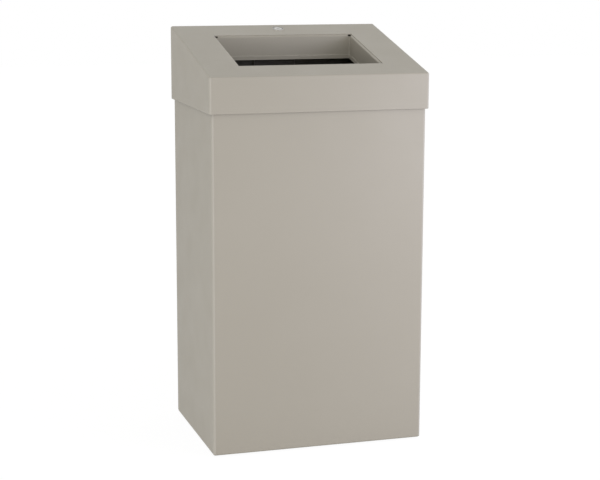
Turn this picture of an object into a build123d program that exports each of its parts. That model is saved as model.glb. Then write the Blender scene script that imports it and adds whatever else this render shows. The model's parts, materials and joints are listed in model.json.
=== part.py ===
from build123d import *
import os
from math import cos, radians, sin, sqrt, tan

# A 50 litre litter bin in folded sheet steel: a box-shaped body, a sloped lift-off lid with
# a deep rectangular throat, a frame for the bag and a cam lock at the back of the lid.
# Millimetres. The origin is on the floor under the middle of the bin, the front faces -Y.

# Body
body_width = 350.0
body_depth = 260.0
body_height = 567.0  # lower edge to rim
sheet = 1.2
bend_radius = 3.0  # outside of the folds
corner_radius = 3.6  # outside of the upright folds
foot_proud = 2.5  # feet below the body's lower edge
rim_return = 18.0  # inward flange round the mouth
base_return = 18.0  # inward flange round the bottom
mitre_slit = 0.5
seam_gap = 0.3  # between neighbouring edges of two sheets
relief_radius = 5.2  # round cut where three folds of the sheet would meet

# Base pan, dropped on the bottom flanges
pan_upstand = 24.0
pan_clearance = 0.2
pan_corner_notch = 5.0
bead_length = 230.0
bead_width = 30.0
bead_height = 2.5

# Push-in rubber feet
foot_radius = 10.0
foot_inset_x = 30.0
foot_inset_y = 30.0
foot_hole_radius = 4.0
foot_stem_clearance = 0.1
foot_barb_radius = 5.2
foot_barb_height = 6.0
foot_barb_tip_radius = 2.6

# Lid
lid_overhang = 4.0
lid_overlap = 24.0  # skirt below the rim
lid_front_height = 56.7
lid_slope = 13.6
hem_height = 9.0

# Throat and its chute
throat_side_margin = 63.0  # lid's side to the throat's side wall
throat_front_margin = 56.0
throat_back_margin = 60.5
chute_drop = 40.0
chute_flange = 14.0
chute_hem = 6.0
reveal = 0.2  # cut edge of the lid back from the chute's fold
chute_corner_radius = 2.0  # inside
corner_relief_radius = 3.4

# Rests that carry the lid on the rim
rest_length = 22.0
rest_height = 18.0
rest_thickness = 1.5
rest_reach = 13.0
rest_bend_radius = 2.5
rest_from_end = 50.0  # middle of a rest from the body's front or back
pad_thickness = 1.5
pad_width = 6.5
pad_margin = 1.5
seat_gap = 0.05  # between a loose piece and what it rests on

# Bag frame
frame_clearance = 1.2  # to the edge of the mouth
frame_thickness = 1.5
frame_depth = 22.0
frame_corner_radius = 8.0
frame_bend_radius = 2.5
tab_reach = 10.0
tab_width = 24.0
tab_from_side = 85.0  # middle of a front or back tab from the body's side

# Cam lock
lock_from_back = 26.7  # along the slope
lock_head_radius = 9.5
lock_head_height = 1.2
lock_barrel_radius = 8.0
lock_flat_width = 13.5
lock_hole_clearance = 0.15
lock_barrel_length = 20.0
lock_bore_clearance = 0.05
plug_radius = 5.5
plug_head_radius = 6.2
plug_head_depth = 1.5
plug_recess = 0.2
keyway_length = 6.4
keyway_width = 1.8
keyway_depth = 9.0
washer_radius = 10.5
washer_thickness = 0.8
nut_across_flats = 20.0
nut_thickness = 4.0
cam_gap = 0.3
cam_thickness = 2.5
cam_width = 14.0
cam_reach = 28.0
cam_hub_radius = 8.5
tail_square = 7.0
screw_radius = 2.0
screw_depth = 8.0
screw_head_radius = 4.0
screw_head_height = 2.4
screw_slot_width = 1.0
screw_slot_depth = 1.2

# Catch that the cam turns under
catch_width = 72.0
catch_thickness = 2.0
catch_bend_radius = 3.0
catch_foot = 10.0
catch_setback = 0.2  # back of the catch from the body's outside
catch_lip_length = 24.0
catch_notch_width = 28.0
catch_notch_floor = 1.5
catch_play = 0.5  # above the locked cam

# Worked out from the sizes above
body_low = foot_proud
rim_top = body_low + body_height
half_width = body_width / 2
half_depth = body_depth / 2
inner_bend = bend_radius - sheet
wrap_back = half_depth - sheet
slope = radians(lid_slope)
lid_half_width = half_width + lid_overhang
lid_half_depth = half_depth + lid_overhang
lid_low = rim_top - lid_overlap
lid_inside = lid_half_width - sheet
throat_width = 2 * (lid_half_width - throat_side_margin)
throat_front = throat_front_margin - lid_half_depth
throat_back = lid_half_depth - throat_back_margin
rest_spacing = body_depth - 2 * rest_from_end
tab_spacing = body_width - 2 * tab_from_side
lock_from_front = 2 * lid_half_depth / cos(slope) - lock_from_back
lid_face = Plane(
    origin=(0, -lid_half_depth, lid_low + lid_front_height),
    x_dir=(1, 0, 0),
    z_dir=(0, -sin(slope), cos(slope)),
)


def top_height(y, drop=0.0):
    """Height of the lid's top face at y, less a vertical drop."""
    return lid_low + lid_front_height + (y + lid_half_depth) * tan(slope) - drop


def along_slope(y, depth):
    """Distance up the slope, from the lid's front edge, of a point at y and a depth below the face."""
    return (y + lid_half_depth) / cos(slope) - depth * tan(slope)


def block(x0, x1, y0, y1, z0, z1):
    return Pos((x0 + x1) / 2, (y0 + y1) / 2, (z0 + z1) / 2) * Box(x1 - x0, y1 - y0, z1 - z0)


def side_profile(points, x_half, x_middle=0.0):
    """Extrude a closed outline in the YZ plane both ways from x_middle."""
    return Pos(x_middle, 0, 0) * extrude(Plane.YZ * Polygon(*points, align=None), x_half, both=True)


def body_box(inset):
    low, high = body_low + inset, rim_top - inset
    box = block(inset - half_width, half_width - inset, inset - half_depth, wrap_back - inset, low, high)
    box = fillet(box.edges().filter_by(Axis.Z), corner_radius - inset)
    levels = box.edges().group_by(Axis.Z)
    return fillet(levels[0] + levels[-1], bend_radius - inset)


def body_wrap():
    """Front and both sides in one folded sheet, with its rim, its bottom flanges and two back flanges."""
    shell = body_box(0) - body_box(sheet)
    mouth_x, mouth_y = half_width - rim_return, half_depth - rim_return
    floor_x, floor_y = half_width - base_return, half_depth - base_return
    middle = (body_low + rim_top) / 2
    shell -= block(-mouth_x, mouth_x, -mouth_y, half_depth, middle, rim_top + 1)
    shell -= block(-floor_x, floor_x, -floor_y, half_depth, body_low - 1, middle)
    reach = rim_return - bend_radius
    slit = Box((reach + mitre_slit) * sqrt(2), mitre_slit, 3 * sheet)
    for side in (-1, 1):
        for level in (body_low, rim_top):
            corner = Pos(side * (mouth_x + reach / 2), -mouth_y - reach / 2, level)
            shell -= corner * Rot(0, 0, -45 * side) * slit
        for y, level in ((-half_depth, rim_top), (wrap_back, rim_top), (wrap_back, body_low)):
            shell -= Pos(side * half_width, y, level) * Cylinder(relief_radius, 2 * bend_radius)
    return shell


def rear_panel():
    """Back sheet, lapped over the wrap's back flanges, with its own rim and bottom flange."""
    inner_x = half_width - rim_return - seam_gap
    outer_x = half_width - corner_radius - seam_gap
    mouth_y = half_depth - rim_return
    middle = (body_low + rim_top) / 2
    outside = block(-inner_x, inner_x, mouth_y, half_depth, body_low, rim_top)
    folds = outside.edges().filter_by(Axis.X).group_by(Axis.Y)[-1]
    outside = fillet(folds, bend_radius)
    inside = block(-half_width, half_width, mouth_y - 5, half_depth - sheet, body_low + sheet, rim_top - sheet)
    folds = inside.edges().filter_by(Axis.X).group_by(Axis.Y)[-1]
    panel = outside - fillet(folds, inner_bend)
    ear = body_height - 2 * (bend_radius + seam_gap)
    for side in (-1, 1):
        lap = Box(outer_x - inner_x + 1, sheet, ear)
        panel += Pos(side * (outer_x + inner_x - 1) / 2, half_depth - sheet / 2, middle) * lap
    return panel


def base_pan():
    """Floor of the bin: a shallow pan with open corners, a wide pressed bead and four foot holes."""
    low = body_low + sheet
    x = half_width - sheet - pan_clearance
    front = -half_depth + sheet + pan_clearance
    back = wrap_back - sheet - pan_clearance
    outside = block(-x, x, front, back, low, low + pan_upstand)
    outside = fillet(outside.edges().group_by(Axis.Z)[0], bend_radius)
    inside = block(sheet - x, x - sheet, front + sheet, back - sheet, low + sheet, low + 2 * pan_upstand)
    pan = outside - fillet(inside.edges().group_by(Axis.Z)[0], inner_bend)
    notch = Box(2 * pan_corner_notch, 2 * pan_corner_notch, 3 * pan_upstand)
    for cx in (-x, x):
        for cy in (front, back):
            pan -= Pos(cx, cy, low) * notch
    pan += bead(low, bead_width)
    pan -= bead(low - sheet, bead_width - 2 * sheet)
    for cx, cy in foot_centres():
        pan -= Pos(cx, cy, low) * Cylinder(foot_hole_radius, 6 * sheet)
    return pan


def bead(low, width):
    """Long pressed rib, flat-topped and tapered all round, standing on the level low."""
    length = bead_length - bead_width + width
    rise = bead_height + sheet
    return Pos(0, 0, low) * extrude(SlotOverall(length, width), rise, taper=30)


def foot_centres():
    x, y = half_width - foot_inset_x, half_depth - foot_inset_y
    return [(-x, -y), (x, -y), (-x, y), (x, y)]


def rubber_foot():
    """Round foot with a stem through the pan and a barb that holds it."""
    under = body_low + sheet
    top = under + sheet + seat_gap
    stem = foot_hole_radius - foot_stem_clearance
    outline = [
        (0, 0),
        (foot_radius, 0),
        (foot_radius, under),
        (stem, under),
        (stem, top),
        (foot_barb_radius, top),
        (foot_barb_tip_radius, top + foot_barb_height),
        (0, top + foot_barb_height),
    ]
    return revolve(Plane.XZ * Polygon(*outline, align=None), Axis.Z)


def bag_frame():
    """Steel strip bent to a rectangle that hangs in the mouth, with six tabs folded out over the rim."""
    x = half_width - rim_return - frame_clearance
    y = half_depth - rim_return - frame_clearance
    top = rim_top + seat_gap + frame_thickness
    low = top - frame_depth
    ring = RectangleRounded(2 * x, 2 * y, frame_corner_radius)
    ring -= offset(ring, -frame_thickness)
    frame = Pos(0, 0, low) * extrude(ring, frame_depth - frame_bend_radius)
    tab = frame_tab(low, top)
    for side in (0, 180):
        turned = Rot(0, 0, side)
        frame += turned * Pos(x, 0, 0) * tab
        for place in (-tab_spacing / 2, tab_spacing / 2):
            frame += turned * Pos(place, y, 0) * Rot(0, 0, 90) * tab
    return frame


def frame_tab(low, top):
    """Piece of the strip with a tab folded out towards +X; the strip's outer face is at x = 0."""
    outline = [
        (-frame_thickness, low),
        (0, low),
        (0, top - frame_thickness),
        (tab_reach, top - frame_thickness),
        (tab_reach, top),
        (-frame_thickness, top),
    ]
    tab = extrude(Plane.XZ * Polygon(*outline, align=None), tab_width / 2, both=True)
    folds = tab.edges().filter_by(Axis.Y).group_by(Axis.X)
    tab = fillet(folds[0].sort_by(Axis.Z)[-1], frame_bend_radius)
    folds = tab.edges().filter_by(Axis.Y).filter_by(lambda edge: abs(edge.center().X) < 1e-3)
    return fillet(folds.sort_by(Axis.Z)[-1], frame_bend_radius - frame_thickness)


def lid_box(inset):
    """Wedge of the lid, taken in by the sheet, with all but its lower edges rounded."""
    low = lid_low - 5 * inset
    y = lid_half_depth - inset
    depth = inset / cos(slope)
    points = [(-y, low), (y, low), (y, top_height(y, depth)), (-y, top_height(-y, depth))]
    wedge = side_profile(points, lid_half_width - inset)
    wedge = fillet(wedge.edges().filter_by(Axis.Z), corner_radius - inset)
    top = wedge.faces().sort_by(Axis.Z)[-1]
    return fillet(top.edges(), bend_radius - inset)


def lid_shell():
    """Sloped cap with its skirt, the hem along the skirt, the cut-out for the throat and the lock hole."""
    shell = lid_box(0) - lid_box(sheet)
    fold = 2 * sheet
    hem = RectangleRounded(2 * lid_inside, 2 * (lid_half_depth - sheet), corner_radius - sheet)
    hem -= RectangleRounded(2 * (lid_half_width - fold), 2 * (lid_half_depth - fold), corner_radius - fold)
    shell += Pos(0, 0, lid_low) * extrude(hem, hem_height)
    shell = chamfer(shell.edges().group_by(Axis.Z)[0], 0.6 * sheet)
    front = along_slope(throat_front, sheet) - reveal - bend_radius * tan((radians(90) + slope) / 2)
    back = along_slope(throat_back, sheet) + reveal + bend_radius * tan((radians(90) - slope) / 2)
    side = throat_width / 2 + reveal + bend_radius
    shell -= lid_face * block(-side, side, front, back, -3 * sheet, 3 * sheet)
    hole = Circle(lock_barrel_radius + lock_hole_clearance)
    hole &= Rectangle(3 * lock_barrel_radius, lock_flat_width + 2 * lock_hole_clearance)
    shell -= lid_face * Pos(0, lock_from_front, 0) * extrude(hole, 3 * sheet, both=True)
    return shell


def throat_prism(grow, upper, lower):
    """Upright prism of the throat, grown sideways, between two drops below the sloped face."""
    y0, y1 = throat_front - grow, throat_back + grow
    points = [
        (y0, top_height(y0, lower)),
        (y1, top_height(y1, lower)),
        (y1, top_height(y1, upper)),
        (y0, top_height(y0, upper)),
    ]
    prism = side_profile(points, throat_width / 2 + grow)
    return fillet(prism.edges().filter_by(Axis.Z), chute_corner_radius + grow)


def chute():
    """Four walls down from the throat, with a flange under the lid and a hem round the lower edge."""
    under = sheet / cos(slope)
    front = along_slope(throat_front, sheet) - chute_flange
    back = along_slope(throat_back, sheet) + chute_flange
    side = throat_width / 2 + chute_flange
    walls = throat_prism(sheet, under, chute_drop)
    walls += lid_face * block(-side, side, front, back, -2 * sheet, -sheet)
    walls -= throat_prism(0, -chute_drop, 2 * chute_drop)
    folds = walls.edges().filter_by(lambda edge: on_face(edge, sheet, 0))
    walls = fillet(folds, bend_radius)
    folds = walls.edges().filter_by(lambda edge: on_face(edge, 2 * sheet, sheet))
    walls = fillet(folds, inner_bend)
    hem = throat_prism(0, chute_drop - chute_hem, chute_drop)
    hem -= throat_prism(-sheet, chute_drop - 2 * chute_hem, chute_drop + chute_hem)
    walls += hem
    for x in (-throat_width / 2, throat_width / 2):
        for y in (along_slope(throat_front, sheet), along_slope(throat_back, sheet)):
            walls -= lid_face * Pos(x, y, -sheet) * Cylinder(corner_relief_radius, 4 * sheet)
    return walls


def on_face(edge, depth, grow):
    """True for an edge of the throat, grown sideways, that lies at a depth below the lid's face."""
    for t in (0, 0.5, 1):
        spot = lid_face.to_local_coords(Vector(edge.position_at(t)))
        if abs(spot.Z + depth) > 1e-3:
            return False
    middle = edge.center()
    limit = 1e-3
    in_x = abs(middle.X) < throat_width / 2 + grow + limit
    return in_x and throat_front - grow - limit < middle.Y < throat_back + grow + limit


def lid_rest(side):
    """Small angle inside the lid's skirt whose foot carries the lid on the rim."""
    under = rim_top + seat_gap + pad_thickness
    wall = lid_inside
    outline = [
        (wall, under),
        (wall, under + rest_height),
        (wall - rest_thickness, under + rest_height),
        (wall - rest_thickness, under + rest_thickness),
        (wall - rest_reach, under + rest_thickness),
        (wall - rest_reach, under),
    ]
    angle = extrude(Plane.XZ * Polygon(*outline, align=None), rest_length / 2, both=True)
    heel = angle.edges().filter_by(Axis.Y).group_by(Axis.Z)[0].sort_by(Axis.X)[-1]
    angle = fillet(heel, rest_bend_radius)
    bends = angle.edges().filter_by(Axis.Y).group_by(Axis.X)
    inner = [group for group in bends if abs(group[0].center().X - wall + rest_thickness) < 1e-3][0]
    angle = fillet(inner.sort_by(Axis.Z)[0], rest_bend_radius - rest_thickness)
    return angle if side > 0 else mirror(angle, Plane.YZ)


def rest_pad(side):
    """Rubber pad between a lid rest and the rim."""
    inner = lid_inside - rest_reach
    half = rest_length / 2 - pad_margin
    under = rim_top + seat_gap
    pad = block(inner, inner + pad_width, -half, half, under, under + pad_thickness)
    return pad if side > 0 else mirror(pad, Plane.YZ)


def on_lock(shape):
    """Move a shape from the lock's own axis to the lid: z = 0 is the lid's outer face."""
    return lid_face * Pos(0, lock_from_front, 0) * shape


def rod(radius, z0, z1):
    return Pos(0, 0, (z0 + z1) / 2) * Cylinder(radius, z1 - z0)


def lock_barrel():
    """Fixed part of the cam lock: round head, double-flatted barrel and a stepped bore."""
    head = rod(lock_head_radius, 0, lock_head_height)
    head = chamfer(head.edges().group_by(Axis.Z)[-1], 0.3 * lock_head_height)
    stem = Circle(lock_barrel_radius) & Rectangle(3 * lock_barrel_radius, lock_flat_width)
    barrel = head + extrude(stem, -lock_barrel_length)
    step = lock_head_height - plug_recess - plug_head_depth - lock_bore_clearance
    barrel -= rod(plug_radius + lock_bore_clearance, -lock_barrel_length - 1, lock_head_height)
    barrel -= rod(plug_head_radius + lock_bore_clearance, step, lock_head_height + 1)
    return on_lock(barrel)


def lock_plug():
    """Turning core of the lock, with its keyway, a square tail for the cam and a tapped end."""
    top = lock_head_height - plug_recess
    end = -lock_barrel_length - cam_gap
    plug = rod(plug_radius, end, top)
    plug += rod(plug_head_radius, top - plug_head_depth, top)
    plug += Pos(0, 0, end - cam_thickness / 2) * Box(tail_square, tail_square, cam_thickness)
    slot = extrude(SlotOverall(keyway_length, keyway_width), keyway_depth)
    plug -= Pos(0, 0, top - keyway_depth) * slot
    plug -= rod(screw_radius, end - cam_thickness - 1, end - cam_thickness + screw_depth)
    return on_lock(plug)


def lock_cam():
    """Flat cam on the square tail: it points to the front unlocked and to the left locked."""
    outline = Circle(cam_hub_radius) + Pos(0, -cam_reach / 2) * Rectangle(cam_width, cam_reach)
    outline -= Rectangle(tail_square, tail_square)
    cam = extrude(outline, cam_thickness)
    tip = cam.edges().filter_by(Axis.Z).group_by(Axis.Y)[0]
    cam = fillet(tip, cam_width / 5)
    return on_lock(Pos(0, 0, -lock_barrel_length - cam_gap - cam_thickness) * cam)


def cam_screw():
    """Slotted screw that holds the cam on the plug."""
    seat = -lock_barrel_length - cam_gap - cam_thickness
    low = seat - screw_head_height
    head = rod(screw_head_radius, low, seat)
    slot = Pos(0, 0, low) * Box(3 * screw_head_radius, screw_slot_width, 2 * screw_slot_depth)
    return on_lock(head - slot + rod(screw_radius, seat, seat + screw_depth))


def lock_washer():
    """Flat washer under the lid, with the barrel's two flats."""
    ring = Circle(washer_radius) - barrel_outline(lock_hole_clearance)
    return on_lock(Pos(0, 0, -sheet - washer_thickness) * extrude(ring, washer_thickness))


def lock_nut():
    """Thin hexagon nut that clamps the barrel."""
    low = -sheet - washer_thickness - nut_thickness
    ring = RegularPolygon(nut_across_flats / 2, 6, major_radius=False) - barrel_outline(0)
    nut = extrude(ring, nut_thickness)
    return on_lock(Pos(0, 0, low) * nut)


def barrel_outline(clearance):
    width = lock_flat_width + 2 * clearance
    return Circle(lock_barrel_radius + clearance) & Rectangle(3 * lock_barrel_radius, width)


def lock_catch():
    """Folded bracket on the back rim: a foot, an upright and a lip that slopes with the lid."""
    back = half_depth - catch_setback
    lip_depth = lock_barrel_length + cam_gap - catch_play
    lip_under = lip_depth / cos(slope)
    lip_over = (lip_depth - catch_thickness) / cos(slope)
    front = back - catch_lip_length
    foot_front = back - catch_foot
    inner = back - catch_thickness
    points = [
        (foot_front, rim_top),
        (back, rim_top),
        (back, top_height(back, lip_over)),
        (front, top_height(front, lip_over)),
        (front, top_height(front, lip_under)),
        (inner, top_height(inner, lip_under)),
        (inner, rim_top + catch_thickness),
        (foot_front, rim_top + catch_thickness),
    ]
    catch = side_profile(points, catch_width / 2)
    folds = catch.edges().filter_by(Axis.X)
    catch = fillet(folds.filter_by(lambda edge: edge.center().Y > back - 0.1), catch_bend_radius)
    folds = catch.edges().filter_by(Axis.X)
    hollow = folds.filter_by(lambda edge: abs(edge.center().Y - inner) < 0.01)
    catch = fillet(hollow, catch_bend_radius - catch_thickness)
    notch_back = inner - catch_notch_floor
    level = top_height(inner)
    notch = block(-catch_notch_width / 2, catch_notch_width / 2, front - 5, notch_back,
                  level - 3 * lip_under, level)
    return catch - notch


parts = {
    "body_wrap": body_wrap(),
    "rear_panel": rear_panel(),
    "base_pan": base_pan(),
    "feet": Compound(children=[Pos(x, y, 0) * rubber_foot() for x, y in foot_centres()]),
    "lock_catch": lock_catch(),
    "bag_frame": bag_frame(),
    "lid_shell": lid_shell(),
    "chute": chute(),
    "lock_barrel": lock_barrel(),
    "lock_washer": lock_washer(),
    "lock_nut": lock_nut(),
    "lock_plug": lock_plug(),
    "lock_cam": lock_cam(),
    "cam_screw": cam_screw(),
}
for side, hand in ((-1, "left"), (1, "right")):
    for y, end in ((-rest_spacing / 2, "front"), (rest_spacing / 2, "rear")):
        parts[f"lid_rest_{end}_{hand}"] = Pos(0, y, 0) * lid_rest(side)
        parts[f"rest_pad_{end}_{hand}"] = Pos(0, y, 0) * rest_pad(side)

os.makedirs("parts", exist_ok=True)
for name, shape in parts.items():
    export_step(shape, f"parts/{name}.step")
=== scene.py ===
import json
from math import cos, radians, sin

import bmesh
import bpy
from mathutils import Matrix, Vector


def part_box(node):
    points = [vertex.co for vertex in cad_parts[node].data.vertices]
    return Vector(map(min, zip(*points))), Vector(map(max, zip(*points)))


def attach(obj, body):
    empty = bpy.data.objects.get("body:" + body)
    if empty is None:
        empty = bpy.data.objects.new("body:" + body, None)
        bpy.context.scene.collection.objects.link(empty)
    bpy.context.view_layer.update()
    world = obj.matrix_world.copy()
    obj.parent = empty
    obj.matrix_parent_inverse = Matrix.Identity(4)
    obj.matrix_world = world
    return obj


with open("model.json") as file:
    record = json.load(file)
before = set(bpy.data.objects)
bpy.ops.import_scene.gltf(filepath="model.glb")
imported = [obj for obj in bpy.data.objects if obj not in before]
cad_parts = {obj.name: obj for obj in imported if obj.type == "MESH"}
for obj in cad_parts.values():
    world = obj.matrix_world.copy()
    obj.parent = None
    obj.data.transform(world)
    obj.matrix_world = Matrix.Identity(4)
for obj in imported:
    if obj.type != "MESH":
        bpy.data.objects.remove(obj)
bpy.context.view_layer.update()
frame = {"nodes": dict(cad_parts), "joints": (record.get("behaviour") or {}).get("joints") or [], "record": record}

cadNodes = frame["nodes"]
joints = {joint["name"]: joint for joint in frame["joints"]}
print("frame loaded,", len(cadNodes), "pieces")


# Camera, fitted to the photograph's edges

photoCamera = {
    "place": (-0.74005, -2.42128, 0.79867),
    "yaw": 17.145,  # degrees, to the right of straight back
    "pitch": 10.733,  # degrees, down
    "roll": 0.193,
    "lens": 93.19,
    "sensor": 36.0,
}


def addCamera(view):
    yaw = radians(view["yaw"])
    pitch = radians(view["pitch"])
    roll = radians(view["roll"])
    ahead = Vector((sin(yaw) * cos(pitch), cos(yaw) * cos(pitch), -sin(pitch)))
    levelRight = Vector((cos(yaw), -sin(yaw), 0))
    levelUp = levelRight.cross(ahead)
    right = levelRight * cos(roll) + levelUp * sin(roll)
    up = levelUp * cos(roll) - levelRight * sin(roll)
    data = bpy.data.cameras.new("photoCamera")
    data.lens = view["lens"]
    data.sensor_width = view["sensor"]
    data.sensor_fit = "HORIZONTAL"
    camera = bpy.data.objects.new("photoCamera", data)
    turned = Matrix((right, up, -ahead)).transposed().to_4x4()
    camera.matrix_world = Matrix.Translation(view["place"]) @ turned
    bpy.context.scene.collection.objects.link(camera)
    bpy.context.scene.camera = camera


addCamera(photoCamera)
print("camera placed")


# Shader helpers

noiseAll = (0.3, 0.7)  # nearly all of a noise texture's values lie between these
noiseHigh = (0.35, 0.75)  # leaves out its lowest values


def newMaterial(name):
    material = bpy.data.materials.new(name)
    material.use_nodes = True
    tree = material.node_tree
    return material, tree, tree.nodes["Principled BSDF"]


def addNode(tree, kind, **settings):
    node = tree.nodes.new(kind)
    for key, value in settings.items():
        setattr(node, key, value)
    return node


def addMapping(tree, place=(0, 0, 0), turn=(0, 0, 0), scale=(1, 1, 1)):
    # object coordinates, centred or turned on the piece
    coordinates = addNode(tree, "ShaderNodeTexCoord")
    mapping = addNode(tree, "ShaderNodeMapping", vector_type="TEXTURE")
    mapping.inputs["Location"].default_value = place
    mapping.inputs["Rotation"].default_value = turn
    mapping.inputs["Scale"].default_value = scale
    tree.links.new(coordinates.outputs["Object"], mapping.inputs["Vector"])
    return mapping.outputs["Vector"]


def addNoise(tree, vector, scale, detail=2.0, roughness=0.5):
    noise = addNode(tree, "ShaderNodeTexNoise")
    noise.inputs["Scale"].default_value = scale
    noise.inputs["Detail"].default_value = detail
    noise.inputs["Roughness"].default_value = roughness
    tree.links.new(vector, noise.inputs["Vector"])
    return noise.outputs[0]


def addRange(tree, value, low, high, newLow, newHigh):
    spread = addNode(tree, "ShaderNodeMapRange")
    spread.inputs["From Min"].default_value = low
    spread.inputs["From Max"].default_value = high
    spread.inputs["To Min"].default_value = newLow
    spread.inputs["To Max"].default_value = newHigh
    tree.links.new(value, spread.inputs["Value"])
    return spread.outputs["Result"]


def addMix(tree, factor, colourA, colourB, blendType="MIX"):
    mix = addNode(tree, "ShaderNodeMix", data_type="RGBA", blend_type=blendType)
    for socket, value in ((mix.inputs[0], factor), (mix.inputs[6], colourA), (mix.inputs[7], colourB)):
        if isinstance(value, bpy.types.NodeSocket):
            tree.links.new(value, socket)
        elif isinstance(value, tuple):
            socket.default_value = (*value, 1)
        else:
            socket.default_value = value
    return mix.outputs[2]


def addMath(tree, operation, a, b):
    step = addNode(tree, "ShaderNodeMath", operation=operation)
    for socket, value in ((step.inputs[0], a), (step.inputs[1], b)):
        if isinstance(value, bpy.types.NodeSocket):
            tree.links.new(value, socket)
        else:
            socket.default_value = value
    return step.outputs[0]


def addBump(tree, height, strength, distance, normal=None):
    bump = addNode(tree, "ShaderNodeBump")
    bump.inputs["Strength"].default_value = strength
    bump.inputs["Distance"].default_value = distance
    tree.links.new(height, bump.inputs["Height"])
    if normal is not None:
        tree.links.new(normal, bump.inputs["Normal"])
    return bump.outputs["Normal"]


def addEdgeMask(tree, coat):
    # towards 1 on an edge that would wear, 0 on a flat
    rounded = addNode(tree, "ShaderNodeBevel", samples=coat["edgeSamples"])
    rounded.inputs["Radius"].default_value = coat["edgeRadius"]
    geometry = addNode(tree, "ShaderNodeNewGeometry")
    dot = addNode(tree, "ShaderNodeVectorMath", operation="DOT_PRODUCT")
    tree.links.new(rounded.outputs["Normal"], dot.inputs[0])
    tree.links.new(geometry.outputs["Normal"], dot.inputs[1])
    turned = addMath(tree, "SUBTRACT", 1.0, dot.outputs["Value"])
    step = addNode(tree, "ShaderNodeMath", operation="MULTIPLY", use_clamp=True)
    tree.links.new(turned, step.inputs[0])
    step.inputs[1].default_value = coat["edgeGain"]
    return step.outputs[0]


def addLockMapping(tree):
    # z along the lock's axis, zero on the lid's sloped face
    hinge = joints["lock_turn"]
    turn = Vector((0, 0, 1)).rotation_difference(-Vector(hinge["axis"])).to_euler()
    return addMapping(tree, tuple(hinge["pos_m"]), tuple(turn))


def addSeparate(tree, vector):
    parts = addNode(tree, "ShaderNodeSeparateXYZ")
    tree.links.new(vector, parts.inputs[0])
    return parts.outputs


def addSteps(tree, low, high, coat):
    # how far a point lies beyond a box that is a bend radius smaller, in x, y and z and at the lid's slope
    radius = coat["bendRadius"]
    half = (high - low) / 2
    parts = addSeparate(tree, addMapping(tree, tuple((low + high) / 2)))
    steps = [addMath(tree, "SUBTRACT", addMath(tree, "ABSOLUTE", parts[way], 0.0), reach - radius)
             for way, reach in zip("XYZ", half)]
    height = addSeparate(tree, addLockMapping(tree))["Z"]
    steps.append(addMath(tree, "ADD", height, radius + coat["slopeDepth"]))
    return [addMath(tree, "MAXIMUM", step, 0.0) for step in steps]


def addInsideMask(tree, steps, radius):
    # 1 on the inner faces of the folded sheet, 0 on its outer ones
    total = 0.0
    for step in steps:
        total = addMath(tree, "ADD", total, addMath(tree, "MULTIPLY", step, step))
    return addMath(tree, "LESS_THAN", addMath(tree, "SQRT", total, 0.0), radius)


def addBendMask(tree, steps, radius):
    # 1 along the middle of the upright bends, where a point lies beyond the box in x and in y
    both = addMath(tree, "MULTIPLY", steps[0], steps[1])
    return addRange(tree, both, 0.0, 0.5 * radius * radius, 0.0, 1.0)


def addSeen(tree):
    # 1 for what the camera sees, straight or by way of a shiny face, and 0 for the light that falls on things
    path = addNode(tree, "ShaderNodeLightPath")
    seen = addMath(tree, "MAXIMUM", path.outputs["Is Camera Ray"], path.outputs["Is Glossy Ray"])
    return addMath(tree, "MAXIMUM", seen, path.outputs["Is Transmission Ray"])


# Finishes

powderCoat = {
    "colour": (0.402, 0.372, 0.308),
    "paleColour": (0.413, 0.383, 0.319),
    # pale colour for specks and worn edges, and for the painted highlight on the upright bends
    "wearAndHighlightColour": (0.58, 0.555, 0.50),
    "bodyInsideShade": 0.75,  # painted shade: the inner faces are darkened to this share, for the shade inside the body and the lid
    "lidInsideShade": 0.38,
    "cloudScale": 5.0,
    "speckScale": 1500.0,
    "speckShare": 0.06,
    "scuffScale": 60.0,
    "smearScale": 22.0,
    "peel": {"scale": 650.0, "relief": (0.30, 0.00012)},  # the orange peel of a baked coat
    "grain": {"scale": 2600.0, "relief": (0.25, 0.00005)},  # strength and depth in metres
    "roughness": (0.45, 0.52),
    "edgeRadius": 0.003,
    "edgeSamples": 6,
    "edgeGain": 6.0,
    "edgeWear": (0.1, 0.55),  # least and most wear on an edge
    "bendRadius": 0.003,  # at the middle of the folded sheet
    "bendHighlight": 0.50,  # painted highlight: the upright bends are painted paler, for the sheen that light makes along them
    "slopeDepth": 0.0013,  # just past the sheet, so the throat's cut edges count as outside
}


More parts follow.
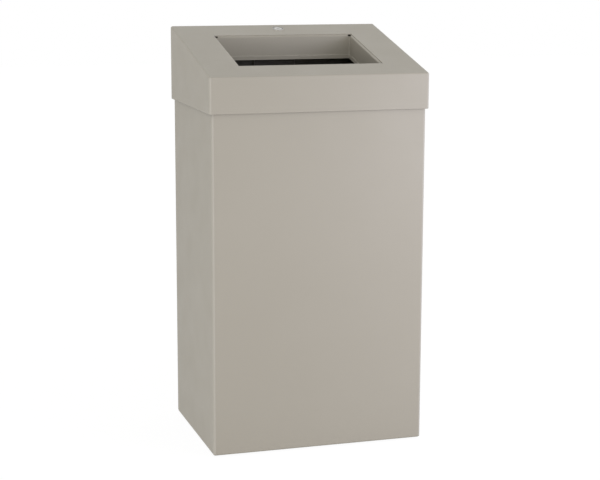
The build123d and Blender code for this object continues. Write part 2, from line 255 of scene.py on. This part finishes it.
def makePowderCoat(name, coat, low, high, shade):
    material, tree, shader = newMaterial(name)
    vector = addMapping(tree)
    cloud = addNoise(tree, vector, coat["cloudScale"], 3.0)
    body = addMix(tree, addRange(tree, cloud, *noiseAll, 0.0, 1.0), coat["colour"], coat["paleColour"])
    speck = addNoise(tree, vector, coat["speckScale"], 1.0)
    speckled = addRange(tree, speck, *noiseHigh, 0.0, coat["speckShare"])
    body = addMix(tree, speckled, body, coat["wearAndHighlightColour"])
    steps = addSteps(tree, low, high, coat)
    # painted highlight: the upright bends are made paler
    highlighted = addMath(tree, "MULTIPLY", addBendMask(tree, steps, coat["bendRadius"]), coat["bendHighlight"])
    body = addMix(tree, highlighted, body, coat["wearAndHighlightColour"])
    # painted shade: the inner faces of the folded sheet are darkened by the given share
    inside = addInsideMask(tree, steps, coat["bendRadius"])
    body = addMix(tree, inside, body, (shade,) * 3, "MULTIPLY")
    edge = addEdgeMask(tree, coat)
    scuff = addNoise(tree, vector, coat["scuffScale"], 4.0, 0.7)
    wear = addMath(tree, "MULTIPLY", edge, addRange(tree, scuff, *noiseHigh, *coat["edgeWear"]))
    tree.links.new(addMix(tree, wear, body, coat["wearAndHighlightColour"]), shader.inputs["Base Color"])
    smear = addNoise(tree, vector, coat["smearScale"], 3.0)
    tree.links.new(addRange(tree, smear, *noiseAll, *coat["roughness"]), shader.inputs["Roughness"])
    normal = None
    for texture in (coat["peel"], coat["grain"]):
        normal = addBump(tree, addNoise(tree, vector, texture["scale"], 1.0), *texture["relief"], normal)
    tree.links.new(normal, shader.inputs["Normal"])
    shader.inputs["IOR"].default_value = 1.5
    return material


shadedZincPlate = {  # painted shade: the plate is made nearly black, so that nothing shines among the zinc parts seen in the throat
    "colour": (0.15, 0.15, 0.145),
    "dullColour": (0.085, 0.085, 0.08),
    "spangleScale": 90.0,
    "spangleTone": (0.7, 1.3),  # at a flake's middle and near its edge
    "cloudScale": 40.0,
    "scratchScale": 900.0,
    "scratchShape": (1, 0.05, 1),  # twenty times finer along y than along x and z
    "relief": (0.15, 0.00005),
    "roughness": (0.26, 0.46),
}


def makeZincPlate(name, plate):
    material, tree, shader = newMaterial(name)
    vector = addMapping(tree)
    spangle = addNode(tree, "ShaderNodeTexVoronoi")
    spangle.inputs["Scale"].default_value = plate["spangleScale"]
    tree.links.new(vector, spangle.inputs["Vector"])
    cloud = addNoise(tree, vector, plate["cloudScale"], 4.0)
    tone = addRange(tree, spangle.outputs["Distance"], 0.0, 0.7, *plate["spangleTone"])
    flake = addMath(tree, "MULTIPLY", cloud, tone)
    mixed = addMix(tree, addRange(tree, flake, *noiseAll, 0.0, 1.0), plate["dullColour"], plate["colour"])
    tree.links.new(mixed, shader.inputs["Base Color"])
    tree.links.new(addRange(tree, cloud, *noiseAll, *plate["roughness"]), shader.inputs["Roughness"])
    scratches = addNoise(tree, addMapping(tree, scale=plate["scratchShape"]), plate["scratchScale"], 2.0)
    tree.links.new(addBump(tree, scratches, *plate["relief"]), shader.inputs["Normal"])
    shader.inputs["Metallic"].default_value = 1.0
    return material


satinNickel = {
    "colour": (0.34, 0.335, 0.31),
    "ringColour": (0.24, 0.235, 0.22),
    "rimColour": (0.70, 0.69, 0.66),  # hands keep the very edge bright
    "keyway": (0.0032, 0.0013),  # half the length and half the width of the keyhole, painted dark for the shade inside it
    "ringSpacing": 0.00045,
    "ringWobble": 0.6,
    "ringShare": 0.35,
    "relief": (0.2, 0.00003),
    "smearScale": 300.0,
    "paintedShadeColour": (0.045, 0.042, 0.038),
    "shadeRing": (0.0074, 0.0080, 0.0088, 0.0092),  # painted shadow: a dark ring near the edge of the head, for the shade in the gap round it
    "roughness": (0.24, 0.38),
}
polishedNickel = {
    **satinNickel,
    "colour": (0.64, 0.63, 0.60),
    "ringColour": (0.44, 0.43, 0.40),
    "roughness": (0.16, 0.28),
}


def makeNickel(name, nickel):
    # turned on a lathe: fine rings round the lock's axis
    material, tree, shader = newMaterial(name)
    vector = addLockMapping(tree)
    rings = addNode(tree, "ShaderNodeTexWave", wave_type="RINGS", rings_direction="Z")
    rings.inputs["Scale"].default_value = 0.314 / nickel["ringSpacing"]  # a wave is 0.314 long at scale 1
    rings.inputs["Distortion"].default_value = nickel["ringWobble"]
    tree.links.new(vector, rings.inputs["Vector"])
    smear = addNoise(tree, vector, nickel["smearScale"], 3.0)
    shade = addRange(tree, rings.outputs["Fac"], 0.0, 1.0, 0.0, nickel["ringShare"])
    turned = addMix(tree, shade, nickel["colour"], nickel["ringColour"])
    parts = addSeparate(tree, vector)
    squares = [addMath(tree, "MULTIPLY", parts[way], parts[way]) for way in "XY"]
    reach = addMath(tree, "SQRT", addMath(tree, "ADD", squares[0], squares[1]), 0.0)
    ringIn, ringFull, ringEnd, ringOut = nickel["shadeRing"]
    # painted shade: darkened in a ring near the head's edge and over the keyhole
    paintedShade = addMath(tree, "MULTIPLY", addRange(tree, reach, ringIn, ringFull, 0.0, 1.0),
                   addRange(tree, reach, ringEnd, ringOut, 1.0, 0.0))
    turned = addMix(tree, addRange(tree, reach, ringEnd, ringOut, 0.0, 1.0), turned, nickel["rimColour"])
    across = [addMath(tree, "DIVIDE", square, half * half) for square, half in zip(squares, nickel["keyway"])]
    keyway = addMath(tree, "LESS_THAN", addMath(tree, "ADD", across[0], across[1]), 1.0)
    paintedShade = addMath(tree, "MAXIMUM", paintedShade, keyway)
    tree.links.new(addMix(tree, paintedShade, turned, nickel["paintedShadeColour"]), shader.inputs["Base Color"])
    tree.links.new(addRange(tree, smear, *noiseAll, *nickel["roughness"]), shader.inputs["Roughness"])
    tree.links.new(addBump(tree, rings.outputs["Fac"], *nickel["relief"]), shader.inputs["Normal"])
    shader.inputs["Metallic"].default_value = 1.0
    return material


blackRubber = {
    "colour": (0.018, 0.018, 0.018),
    "bloomColour": (0.045, 0.044, 0.042),  # the pale bloom of moulded rubber
    "bloomScale": 180.0,
    "bloomReach": (0.4, 0.8),  # only the noise's higher values, so the bloom lies in patches
    "poreScale": 2200.0,
    "relief": (0.3, 0.00008),
    "roughness": (0.62, 0.85),
}


def makeRubber(name, rubber):
    material, tree, shader = newMaterial(name)
    vector = addMapping(tree)
    bloom = addNoise(tree, vector, rubber["bloomScale"], 4.0, 0.6)
    patches = addRange(tree, bloom, *rubber["bloomReach"], 0.0, 1.0)
    mixed = addMix(tree, patches, rubber["colour"], rubber["bloomColour"])
    tree.links.new(mixed, shader.inputs["Base Color"])
    tree.links.new(addRange(tree, bloom, *noiseAll, *rubber["roughness"]), shader.inputs["Roughness"])
    pores = addNoise(tree, vector, rubber["poreScale"], 2.0)
    tree.links.new(addBump(tree, pores, *rubber["relief"]), shader.inputs["Normal"])
    return material


def setFinish(name, finish):
    for slot in cadNodes[name].material_slots:
        slot.material = finish


# boxes halfway through the sheet, which tell a coat's inner faces from its outer ones
halfSheet = Vector((0.0006, 0.0006, 0.0006))
panLow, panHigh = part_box("base_pan")
wrapLow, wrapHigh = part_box("body_wrap")
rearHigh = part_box("rear_panel")[1]
lidLow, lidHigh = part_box("lid_shell")
bodyLow = Vector((panLow.x, panLow.y, wrapLow.z + 2 * halfSheet.z)) - halfSheet
bodyHigh = Vector((panHigh.x + 2 * halfSheet.x, rearHigh.y, wrapHigh.z)) - halfSheet
capLow = lidLow + Vector((halfSheet.x, halfSheet.y, -0.01))  # nothing closes the lid below
capHigh = lidHigh - halfSheet
airLow = Vector((lidLow.x, lidLow.y, lidHigh.z))  # above the lid, so no face of the chute is inside
airHigh = lidHigh + Vector((0, 0, 0.1))

bodyInsideShade, lidInsideShade = powderCoat["bodyInsideShade"], powderCoat["lidInsideShade"]
finishes = {
    "powder_coat": makePowderCoat("powderCoat", powderCoat, bodyLow, bodyHigh, bodyInsideShade),
    "zinc_plate": makeZincPlate("shadedZincPlate", shadedZincPlate),
    "lock_chrome": makeNickel("satinNickel", satinNickel),
    "rubber": makeRubber("blackRubber", blackRubber),
}
for part in frame["record"]["subparts"]:
    setFinish(part["node"], finishes[part["material_slot"]])

setFinish("lid_shell", makePowderCoat("lidCoat", powderCoat, capLow, capHigh, lidInsideShade))
setFinish("chute", makePowderCoat("chuteCoat", powderCoat, airLow, airHigh, lidInsideShade))
setFinish("lock_plug", makeNickel("polishedNickel", polishedNickel))
# painted shade: the catch and the rests inside the lid are darkened all over
shadedInnerCoat = makePowderCoat("shadedInnerCoat", powderCoat, wrapLow, lidHigh, lidInsideShade)
for name in cadNodes:
    if name == "lock_catch" or name.startswith("lid_rest_"):
        setFinish(name, shadedInnerCoat)
print("finishes made:", ", ".join(finishes))


# Spot welds down the back, where the rear panel laps over the wrap

spotWelds = {
    "count": 9,
    "fromEnd": 0.036,
    "fromSide": 0.0072,  # middle of the lap
    "radius": 0.0027,
    "slope": 0.00081,  # width of the slope up from the panel
    "ring": 0.0011,  # width of the ring from there to the pressed middle
    "proud": 0.00022,
    "dish": 0.000132,  # how far the middle is pressed back in
    "segments": 20,
}


def addSpotWelds(welds):
    low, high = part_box("rear_panel")
    step = (high.z - low.z - 2 * welds["fromEnd"]) / (welds["count"] - 1)
    mesh = bmesh.new()
    for x in (low.x + welds["fromSide"], high.x - welds["fromSide"]):
        for n in range(welds["count"]):
            spot = Matrix.Translation((x, high.y, low.z + welds["fromEnd"] + n * step))
            spot = spot @ Matrix.Rotation(radians(90), 4, "X")
            made = bmesh.ops.create_circle(mesh, cap_ends=True, segments=welds["segments"],
                                           radius=welds["radius"], matrix=spot)
            face = made["verts"][0].link_faces[0]
            if face.normal.y < 0:
                face.normal_flip()
            back = bmesh.ops.extrude_face_region(mesh, geom=[face], use_keep_orig=True)
            outer = [f for f in back["geom"] if isinstance(f, bmesh.types.BMFace)][0]
            bmesh.ops.inset_region(mesh, faces=[outer], thickness=welds["slope"])
            bmesh.ops.translate(mesh, verts=outer.verts, vec=(0, welds["proud"], 0))
            bmesh.ops.inset_region(mesh, faces=[outer], thickness=welds["ring"])
            bmesh.ops.translate(mesh, verts=outer.verts, vec=(0, -welds["dish"], 0))
    bmesh.ops.remove_doubles(mesh, verts=mesh.verts, dist=1e-6)
    bmesh.ops.recalc_face_normals(mesh, faces=mesh.faces)
    data = bpy.data.meshes.new("spotWelds")
    mesh.to_mesh(data)
    mesh.free()
    for face in data.polygons:
        face.use_smooth = True
    data.materials.append(finishes["powder_coat"])
    piece = bpy.data.objects.new("spotWelds", data)
    bpy.context.scene.collection.objects.link(piece)
    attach(piece, "bin")


addSpotWelds(spotWelds)
print("spot welds pressed")


# Studio

studio = {
    "floorSize": 16.0,
    "floorColour": (0.58, 0.58, 0.57),
    "floorRoughness": 0.9,
    "floorWhite": 0.86,  # how much of the floor that the camera sees is plain white
    "whiteLevel": 1.10,  # over 1, so the far floor meets the sky without a line
    "skyLevel": 0.69,  # the light from the sky; the camera sees it white
    "lamps": {
        "frontLamp": {"place": (0.66, -0.82, 0.52), "aim": (0.08, -0.13, 0.38), "size": (0.5, 0.5),
                      "watts": 4.2, "colour": (0.86, 0.85, 1.0)},
        "sideLamp": {"place": (-0.95, -0.45, 0.16), "aim": (-0.17, -0.05, 0.30), "size": (0.4, 0.25),
                     "watts": 0.2, "colour": (1.0, 0.98, 0.92)},
        "fillLamp": {"place": (-1.50, -1.75, 0.28), "aim": (-0.17, -0.13, 0.30), "size": (0.8, 0.45),
                     "watts": 9.3, "colour": (1.0, 0.965, 0.94)},
    },
}


def addFloor(settings):
    mesh = bmesh.new()
    bmesh.ops.create_grid(mesh, x_segments=1, y_segments=1, size=settings["floorSize"] / 2)
    data = bpy.data.meshes.new("studioFloor")
    mesh.to_mesh(data)
    mesh.free()
    floor = bpy.data.objects.new("studioFloor", data)
    bpy.context.scene.collection.objects.link(floor)
    material, tree, shader = newMaterial("studioFloor")
    shader.inputs["Base Color"].default_value = (*settings["floorColour"], 1)
    shader.inputs["Roughness"].default_value = settings["floorRoughness"]
    white = addNode(tree, "ShaderNodeEmission")
    white.inputs["Strength"].default_value = settings["whiteLevel"]
    share = addMath(tree, "MULTIPLY", addSeen(tree), settings["floorWhite"])
    mix = addNode(tree, "ShaderNodeMixShader")
    tree.links.new(share, mix.inputs[0])
    tree.links.new(shader.outputs[0], mix.inputs[1])
    tree.links.new(white.outputs[0], mix.inputs[2])
    tree.links.new(mix.outputs[0], tree.nodes["Material Output"].inputs["Surface"])
    data.materials.append(material)


def addSky(settings):
    world = bpy.data.worlds.new("studioSky")
    bpy.context.scene.world = world
    world.use_nodes = True
    tree = world.node_tree
    sky = tree.nodes["Background"]
    sky.inputs["Color"].default_value = (1, 1, 1, 1)
    level = addRange(tree, addSeen(tree), 0.0, 1.0, settings["skyLevel"], 1.0)
    tree.links.new(level, sky.inputs["Strength"])


def addLamps(settings):
    for name, lamp in settings["lamps"].items():
        data = bpy.data.lights.new(name, "AREA")
        data.shape = "RECTANGLE"
        data.size, data.size_y = lamp["size"]
        data.energy = lamp["watts"]
        data.color = lamp["colour"]
        light = bpy.data.objects.new(name, data)
        light.visible_camera = False
        place = Vector(lamp["place"])
        light.location = place
        light.rotation_euler = (Vector(lamp["aim"]) - place).to_track_quat("-Z", "Y").to_euler()
        bpy.context.scene.collection.objects.link(light)


addFloor(studio)
addSky(studio)
addLamps(studio)
bpy.context.scene.view_settings.view_transform = "Standard"
print("studio lit")
